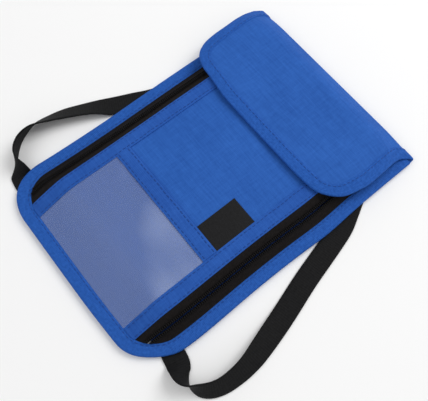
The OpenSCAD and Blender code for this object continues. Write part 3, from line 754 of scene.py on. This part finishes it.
# %% Flap cloth and lining
flap_cloth = place(make_piece("flap_cloth", flap_layer(0, 0.8, 4.6), outer_cloth, sharp=50),
                   "fold", "outer_cloth", "flap_shell")
flap_inside = place(make_piece("flap_inner_lining", flap_layer(0.8, 1.2, 9.0), lining_cloth),
                    "fold", "lining_cloth", "flap_lining")

# %% [markdown]
# ## Binding
# One tape is folded over the raw edges of all the layers and sewn through. Its section is a
# narrow U with a round back. It follows the outline of the pouch, and a second length follows
# the flap. Bias tape gathers a little where it goes round a corner, so it gets small puckers.

# %% The outline and the folded tape
def edge_path(down, r, half, round_points, flat_end, step=2.0):
    """A rounded outline from the top right, round the bottom, to the top left.

    It gives x, y, the direction into the cloth at each point, and 1 where a corner turns.
    """
    turn_a = np.linspace(0, math.pi / 2, round_points)
    flat = np.arange(half - r - step, flat_end, -step)
    still, level = np.zeros(len(down)), np.zeros(len(flat))
    px = np.concatenate([still + half, half - r + r * np.cos(turn_a), flat,
                         r - half - r * np.sin(turn_a), still - half])
    py = np.concatenate([down, r - r * np.sin(turn_a), level, r - r * np.cos(turn_a),
                         down[::-1]])
    nx = np.concatenate([still - 1, -np.cos(turn_a), level, np.sin(turn_a), still + 1])
    ny = np.concatenate([still, np.sin(turn_a), level + 1, np.cos(turn_a), still])
    corner = np.ones(round_points)
    return px, py, nx, ny, np.concatenate([still, corner, level, corner, still])


def pouch_edge(y_top):
    """The outline of the pouch up to a height."""
    return edge_path(np.arange(y_top, CORNER, -2.0), CORNER, HALF_WIDTH, 26,
                     CORNER - HALF_WIDTH)


def binding_section(width, low, high, thick):
    """The U of a folded tape, as distances in from the edge and heights, closed."""
    middle, r = (low + high) / 2, (high - low) / 2
    back_turn = np.linspace(math.pi / 2, 1.5 * math.pi, 9)
    outer = [(width, high - thick), (width + 0.05, high - thick / 2), (width - 0.25, high)]
    outer += [(width * f, high + 0.09) for f in (0.8, 0.62, 0.45)]
    outer += [(r + r * math.cos(a), middle + r * math.sin(a)) for a in back_turn]
    outer += [(width * 0.5, low), (width - 0.25, low), (width, low + thick)]
    inner = [(r + (r - thick) * math.cos(a), middle + (r - thick) * math.sin(a))
             for a in back_turn[::-2]]
    return np.array(outer + inner)


PUCKER, PUCKER_GAP = 0.09, 2.8


def puckers(turning, travel, inward, upper):
    """Small gathers in the tape's upper leg where it goes round a corner."""
    waves = turning * PUCKER * np.sin(travel * 2 * math.pi / PUCKER_GAP)
    return waves[:, None] * ((inward > 3) & upper) * inward / BINDING


def distances(*axes):
    """How far along a line each of its points lies."""
    steps = np.sqrt(sum(np.diff(axis) ** 2 for axis in axes))
    return np.concatenate([[0], np.cumsum(steps)])


def folded_tape(name, rings, travel, section, body, node):
    """A binding made from its rings, with a map that runs along and across the tape."""
    across_tape = distances(section[:, 0], section[:, 1])
    tape_map = np.stack(np.meshgrid(travel, across_tape, indexing="ij"), -1).reshape(-1, 2)
    return place(make_piece(name, sweep(rings), binding_tape, tape_map, sharp=55), body,
                 "binding_tape", node)


# %% Binding round the pouch
px, py, nx, ny, turning = pouch_edge(TOP_Y)
section = binding_section(BINDING, 1.1, 3.7, TAPE_T)
travel = distances(px, py)
inward_d, level = section[:, 0][None, :], section[:, 1][None, :]
rings = settled(np.stack([px[:, None] + nx[:, None] * inward_d,
                          py[:, None] + ny[:, None] * inward_d,
                          level + puckers(turning, travel, inward_d, level > 3.4)], -1))
folded_tape("pouch_binding_tape", rings, travel, section, "pouch", "perimeter_binding")

# %% Binding round the flap
down = np.concatenate([np.arange(0.3, 16, 0.7), np.arange(16, FLAP_S - FLAP_R, 2.0)])
pu, past_edge, nu, into, turning = edge_path(FLAP_S - down, FLAP_R, FLAP_HALF, 22,
                                             20 - FLAP_HALF)
ps, ns = FLAP_S - past_edge, -into
section = binding_section(BINDING, -1.6, TAPE_T, TAPE_T)
travel = distances(pu, ps)
inward_d = np.broadcast_to(section[:, 0][None, :], (len(pu), len(section)))
thin = np.clip(0.45 + 0.55 * (ps - 4) / 8, 0.45, 1)[:, None]  # the tape is pressed at the fold
rise = np.where(section[:, 1] < 0, section[:, 1] * thin, section[:, 1])
rise = rise + puckers(turning, travel, inward_d, rise > 0.2)
rings = flap_point(pu[:, None] + nu[:, None] * inward_d,
                   np.clip(ps[:, None] + ns[:, None] * inward_d, 0.1, FLAP_S), -rise)
folded_tape("flap_binding_tape", rings, travel, section, "fold", "flap_binding")

# %% [markdown]
# ## What repeats: stitches, coil turns and hooks
# Hundreds of stitches, coil turns and hooks are too many to place by hand. Geometry Nodes
# place one small shape again and again along a line. Each line is a mesh of edges only, whose
# points carry the direction that is up there. The tree turns the line into a curve, spaces
# points evenly along it, puts the shape on each and turns it to the line and to that
# direction. Its result is then made a plain mesh.

# %% A tree that repeats a shape along a line
def new_tree(name, numbers):
    """A tree with its inputs, and points spaced by its pitch along its line."""
    tree = bpy.data.node_groups.new(name, "GeometryNodeTree")
    tree.interface.new_socket("Line", in_out="INPUT", socket_type="NodeSocketGeometry")
    for title, value in numbers.items():
        kind = "NodeSocketInt" if isinstance(value, int) else "NodeSocketFloat"
        tree.interface.new_socket(title, in_out="INPUT", socket_type=kind).default_value = value
    tree.interface.new_socket("Finish", in_out="INPUT", socket_type="NodeSocketMaterial")
    tree.interface.new_socket("Result", in_out="OUTPUT", socket_type="NodeSocketGeometry")
    given = add(tree, "NodeGroupInput").outputs
    curve = add(tree, "GeometryNodeMeshToCurve", inputs={"Mesh": given["Line"]})
    spots = add(tree, "GeometryNodeResampleCurve", {"mode": "LENGTH"},
                {"Curve": curve.outputs[0], "Length": given["Pitch"]})
    return tree, given, spots.outputs[0]


def turned_to_line(tree, along_axis, up_axis):
    """A rotation with one axis along the line and another toward the stored direction."""
    tangent = add(tree, "GeometryNodeInputTangent").outputs[0]
    stored = add(tree, "GeometryNodeInputNamedAttribute", {"data_type": "FLOAT_VECTOR"},
                 {"Name": "facing"}).outputs["Attribute"]
    first = add(tree, "FunctionNodeAlignRotationToVector", {"axis": along_axis},
                {"Vector": tangent})
    return add(tree, "FunctionNodeAlignRotationToVector",
               {"axis": up_axis, "pivot_axis": along_axis},
               {"Rotation": first.outputs[0], "Vector": stored}).outputs[0]


def close_tree(tree, spots, shape, turned, finish):
    """The shape on every spot, made real, smooth and with its finish."""
    copies = add(tree, "GeometryNodeInstanceOnPoints",
                 inputs={"Points": spots, "Instance": shape, "Rotation": turned})
    real = add(tree, "GeometryNodeRealizeInstances", inputs={"Geometry": copies.outputs[0]})
    smooth = add(tree, "GeometryNodeSetShadeSmooth", inputs={"Geometry": real.outputs[0]})
    coloured = add(tree, "GeometryNodeSetMaterial",
                   inputs={"Geometry": smooth.outputs[0], "Material": finish})
    add(tree, "NodeGroupOutput", inputs={"Result": coloured.outputs[0]})
    return tree


def run_tree(name, tree, lines, values, finish):
    """The tree's result on a set of lines, each a list of points and facing directions."""
    points, edges, facing = [], [], []
    for line, directions in lines:
        start = len(points)
        points += to_frame(line).tolist()
        facing += np.asarray(directions, float).tolist()
        edges += [(start + k, start + k + 1) for k in range(len(line) - 1)]
    mesh = bpy.data.meshes.new(name + "_line")
    mesh.from_pydata(points, edges, [])
    stored = mesh.attributes.new("facing", "FLOAT_VECTOR", "POINT")
    stored.data.foreach_set("vector", np.array(facing).ravel())
    carrier = bpy.data.objects.new(name + "_line", mesh)
    bpy.context.scene.collection.objects.link(carrier)
    modifier = carrier.modifiers.new("repeat", "NODES")
    modifier.node_group = tree
    sockets = {item.name: item.identifier for item in tree.interface.items_tree
               if item.in_out == "INPUT"}
    for title, value in {**values, "Finish": finish}.items():
        modifier[sockets[title]] = value
    bpy.context.view_layer.update()
    evaluated = carrier.evaluated_get(bpy.context.evaluated_depsgraph_get())
    result = bpy.data.meshes.new_from_object(evaluated)
    result.name = name
    piece = bpy.data.objects.new(name, result)
    bpy.context.scene.collection.objects.link(piece)
    bpy.data.objects.remove(carrier)
    return piece


# %% The stitch tree
stitch_tree, given, spots = new_tree("stitches along a line", {
    "Pitch": 0.003, "Length": 0.0023, "Thread": 0.00045})
bead = add(stitch_tree, "GeometryNodeMeshUVSphere", inputs={"Segments": 8, "Rings": 6,
                                                           "Radius": 0.5})
scale = add(stitch_tree, "ShaderNodeCombineXYZ",
            inputs={"X": given["Length"], "Y": given["Thread"], "Z": given["Thread"]})
shape = add(stitch_tree, "GeometryNodeTransform",
            inputs={"Geometry": bead.outputs["Mesh"], "Scale": scale.outputs[0]})
close_tree(stitch_tree, spots, shape.outputs[0],
           turned_to_line(stitch_tree, "X", "Z"), given["Finish"])
print("stitch tree:", len(stitch_tree.nodes), "nodes")

# %% The coil tree
coil_tree, given, spots = new_tree("coil turns along a zip", {
    "Pitch": 0.0012, "Width": 0.0014, "Height": 0.0015, "Wire": 0.00028})
ring = add(coil_tree, "GeometryNodeCurvePrimitiveCircle", inputs={"Resolution": 10, "Radius": 0.5})
scale = add(coil_tree, "ShaderNodeCombineXYZ", inputs={"X": given["Width"],
                                                       "Y": given["Height"], "Z": 1.0})
oval = add(coil_tree, "GeometryNodeTransform",
           inputs={"Geometry": ring.outputs[0], "Scale": scale.outputs[0]})
wire = add(coil_tree, "GeometryNodeCurvePrimitiveCircle",
           inputs={"Resolution": 5, "Radius": given["Wire"]})
turn_mesh = add(coil_tree, "GeometryNodeCurveToMesh", inputs={"Curve": oval.outputs[0],
                                                             "Profile Curve": wire.outputs[0]})
close_tree(coil_tree, spots, turn_mesh.outputs[0],
           turned_to_line(coil_tree, "Z", "X"), given["Finish"])
print("coil tree:", len(coil_tree.nodes), "nodes")

# %% [markdown]
# ## Stitches
# Lockstitch shows on the surface as a row of short beads of thread. The bindings are sewn a
# little inside their inner edge, and the hem strips along both sides. A real stitch is about
# 2.5 mm long in 0.3 mm thread. The thread is drawn a little thicker, so that it shows.

# %% Stitch rows on the front and the flap
def on_front(x, y, lift):
    """A line on the front, a little above it, and the direction that is up there."""
    x, y = np.broadcast_arrays(np.asarray(x, float), np.asarray(y, float))
    line = settled(np.stack([x, y, front_height(x, y) + lift], -1))
    return line, np.tile([0, 0, 1.0], (len(line), 1))


def round_pouch(inset, level, y_top):
    """A line round the pouch, inside its edge; it faces down when it lies on the back."""
    px, py, nx, ny = pouch_edge(y_top)[:4]
    line = settled(np.column_stack([px + nx * inset, py + ny * inset, np.full(len(px), level)]))
    return line, np.tile([0, 0, 1.0 if level > 2 else -1.0], (len(line), 1))


def round_flap(inset, lift, s0=1.0):
    """A line round the flap, inside its edge and above its surface."""
    keep = ps > s0
    u, s = pu[keep] + nu[keep] * inset, ps[keep] + ns[keep] * inset
    line = flap_point(u, s, -lift)
    return line, flap_point(u, s, -lift - 1) - line


SEAM = 6.7  # from a bound edge in to its row of stitches
wave = np.arange(BINDING + 3, MOUTH_Y, 1.5)
rows = [round_pouch(SEAM, 3.82, TOP_Y - 1), round_pouch(SEAM, 1.06, TOP_Y - 1)]
for x in (-48.4, -42.0, 42.0, 48.4):
    rows.append(on_front(x + 0.12 * np.sin(wave / 3.0), wave, 0.78))
across_x = np.arange(1.2 - WINDOW_X, WINDOW_X - 1, 1.5)
for y in (WINDOW_Y + 1.6, WINDOW_Y + BAND - 1.5):
    rows.append(on_front(across_x, y + 0.1 * np.sin(across_x / 3.0), 1.2))
rows.append(on_front(across_x, np.full(len(across_x), MOUTH_Y - 4.8), 0.66))
# These rows take the darker thread, whose tone is partly painted seam shade.
body_stitches = run_tree("pouch_stitches", stitch_tree, rows, {}, thread)
place(body_stitches, "pouch", "binding_tape")
flap_stitches = run_tree("flap_stitches", stitch_tree, [round_flap(SEAM, 0.5)], {}, thread)
place(flap_stitches, "fold", "binding_tape")
corner_box = [[-29, 146.4], [29, 146.4], [29, 160.6], [-29, 160.6], [-29, 146.4]]
patch_line = np.concatenate([np.linspace(a, b, 40) for a, b in zip(corner_box, corner_box[1:])])
loop_rows = [on_front(patch_line[:, 0], patch_line[:, 1], 0.62)]
place(run_tree("loop_patch_stitches", stitch_tree, loop_rows, {}, black_thread), "pouch",
      "hook_loop")
anchors = []
for side in (-1, 1):
    box = [[side * 53.5 + a * 4.4, 187 + b, 0.45] for a, b in
           ((-1, 0), (1, 0), (1, -8), (-1, -8), (-1, 0), (1, -8))]
    box = np.concatenate([np.linspace(a, b, 12) for a, b in zip(box, box[1:])])
    anchors.append((box, np.tile([0, 0, -1.0], (len(box), 1))))
place(run_tree("strap_anchor_stitches", stitch_tree, anchors, {}, black_thread), "pouch",
      "webbing")

# %% [markdown]
# ## Zip coils
# A coil zip has two rows of nylon line wound in a spiral. When the zip is closed, the turns of
# one row lie between those of the other. Each row here has a turn every 1.2 mm, which is a
# number 3 coil, and the two rows are half a turn apart.

# %% Coils of both zips
for side, name in ((-1, "left"), (1, "right")):
    lines = []
    for row, x in enumerate((ZIP_X - 1.1, ZIP_X + 1.1)):
        y = np.arange(12.5 + 0.6 * row, 182.6, 1.8)
        reach_x = np.interp(y, *pouch_rows(BINDING, 0, 190)[:2])
        y = y[reach_x > x + 0.8]
        xs = np.full(len(y), side * x)
        z = front_height(xs, y) + 0.8
        tilt = math.atan(SIDE_SLOPE)
        slope = np.array([math.cos(tilt), 0, -side * math.sin(tilt)])
        lines.append((settled(np.stack([xs, y, z], -1)), np.tile(slope, (len(y), 1))))
    place(run_tree(f"{name}_coil_turns", coil_tree, lines, {}, nylon), "pouch", "zip_coil",
          f"{name}_zip_coil")

# %% [markdown]
# ## Hook-and-loop closure
# The loop half is a soft felt on the front, and the hook half, on the flap's lining, is a
# ribbon with rows of little nylon hooks. They meet when the flap is closed. Both show only
# when it is open, and then the rows of hooks catch the light.

# %% Loop patch and hook patch
PATCH_X, PATCH_NEAR, PATCH_FAR = 30, 9, 25  # half its width, and its ends from the free edge
place(make_piece("loop_felt_patch", front_layer(
    0, 0.48, -PATCH_X, PATCH_X, FLAP_Y + PATCH_NEAR, FLAP_Y + PATCH_FAR, cell=1.5), loop_felt),
    "pouch", "hook_loop", "loop_patch")
s_rows = np.linspace(FLAP_S - PATCH_FAR, FLAP_S - PATCH_NEAR, 12)[:, None]
u, s = np.broadcast_arrays(np.linspace(-PATCH_X, PATCH_X, 40)[None, :], s_rows)
hook_base = slab(flap_point(u, s, 1.2), flap_point(u, s, 1.4))
place(make_piece("hook_ribbon", hook_base, zip_tape, hook_base[0][:, :2]), "flap", "hook_loop",
      "hook_patch")
hook_tree, given, spots = new_tree("hooks in rows", {
    "Pitch": 0.0013, "Bend": 0.00025, "Wire": 0.00009})
bow = add(hook_tree, "GeometryNodeCurveArc", inputs={"Resolution": 6, "Radius": given["Bend"],
                                                    "Sweep Angle": math.radians(250)})
wire = add(hook_tree, "GeometryNodeCurvePrimitiveCircle",
           inputs={"Resolution": 4, "Radius": given["Wire"]})
hook = add(hook_tree, "GeometryNodeCurveToMesh",
           {}, {"Curve": bow.outputs[0], "Profile Curve": wire.outputs[0], "Fill Caps": True})
upright = add(hook_tree, "GeometryNodeTransform",
              inputs={"Geometry": hook.outputs[0], "Rotation": (math.pi / 2, 0, 0)})
close_tree(hook_tree, spots, upright.outputs[0],
           turned_to_line(hook_tree, "X", "Z"), given["Finish"])
hook_lines = []
for row_s in np.arange(FLAP_S - 24, FLAP_S - 9.5, 1.3):
    u = np.arange(-29, 29.1, 2.0)
    s = np.full(len(u), row_s)
    line = flap_point(u, s, 1.55)
    hook_lines.append((line, flap_point(u, s, 2.5) - line))
place(run_tree("hook_rows", hook_tree, hook_lines, {}, nylon), "flap", "hook_loop")

# %% [markdown]
# ## Metal and plastic parts
# The sliders, their pulls and the top stops keep their measured shape. They only get a finish.

# %% Sliders, pulls and stops
for node_name, finish in (("left_slider", zinc), ("right_slider", zinc), ("left_pull", zinc),
                          ("right_pull", zinc), ("zip_top_stops", nylon)):
    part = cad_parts[node_name]
    part.data.materials.clear()
    part.data.materials.append(finish)
    print(node_name, "is now", finish.name)

# %% [markdown]
# ## Floor and light
# The pouch lies on a plain white floor. A large soft lamp hangs behind the fold, so the fold
# and the far edges are the brightest, and a second one fills in from the near side. The floor
# keeps a faint shadow. To the camera the world behind it is plain white.

# %% Floor
floor_finish, tree, shader = start_finish("white paper floor")
set_shader(shader, Roughness=0.9)
shader.inputs["Base Color"].default_value = linear("#fafafa")
floor_mesh = bpy.data.meshes.new("paper_floor")
floor_mesh.from_pydata([(-3, -3, -0.0002), (3, -3, -0.0002), (3, 3, -0.0002), (-3, 3, -0.0002)],
                       [], [(0, 1, 2, 3)])
floor_mesh.materials.append(floor_finish)
floor = bpy.data.objects.new("paper_floor", floor_mesh)
bpy.context.scene.collection.objects.link(floor)
print("floor laid")

# %% World and lamps
world = bpy.data.worlds.new("studio")
bpy.context.scene.world = world
world.use_nodes = True
tree = world.node_tree
tree.nodes.clear()
path = add(tree, "ShaderNodeLightPath")
seen = add(tree, "ShaderNodeMath", {"operation": "MAXIMUM"},
           {0: path.outputs["Is Camera Ray"], 1: path.outputs["Is Glossy Ray"]})
seen = add(tree, "ShaderNodeMath", {"operation": "MAXIMUM"},
           {0: seen.outputs[0], 1: path.outputs["Is Transmission Ray"]})
LIGHT_LEVEL, SEEN_LEVEL = 0.52, 1.0
strength = add(tree, "ShaderNodeMapRange", inputs={
    "Value": seen.outputs[0], "To Min": LIGHT_LEVEL, "To Max": SEEN_LEVEL})
sky = add(tree, "ShaderNodeBackground", inputs={"Color": (1, 1, 1, 1),
                                                "Strength": strength.outputs[0]})
add(tree, "ShaderNodeOutputWorld", inputs={"Surface": sky.outputs[0]})


def lamp(name, spot, size, power):
    """A square lamp that faces the pouch."""
    light = bpy.data.lights.new(name, "AREA")
    light.shape, light.size, light.energy = "SQUARE", size, power
    holder = bpy.data.objects.new(name, light)
    holder.location = spot
    holder.rotation_euler = (-Vector(spot)).to_track_quat("-Z", "Y").to_euler()
    bpy.context.scene.collection.objects.link(holder)


lamp("softbox_behind", (0.15, 1.0, 1.1), 0.9, 11.5)
lamp("softbox_near", (-0.5, -0.9, 1.4), 1.2, 5.5)
bpy.context.scene.view_settings.view_transform = "Standard"
print("two lamps and a white world")

# %% [markdown]
# ## Count the pieces
# The last cell prints how many pieces were made. The dressed pouch has to stay within the
# measured box, with a little room for soft cloth.

# %% Count of pieces
print(len(made), "pieces made")
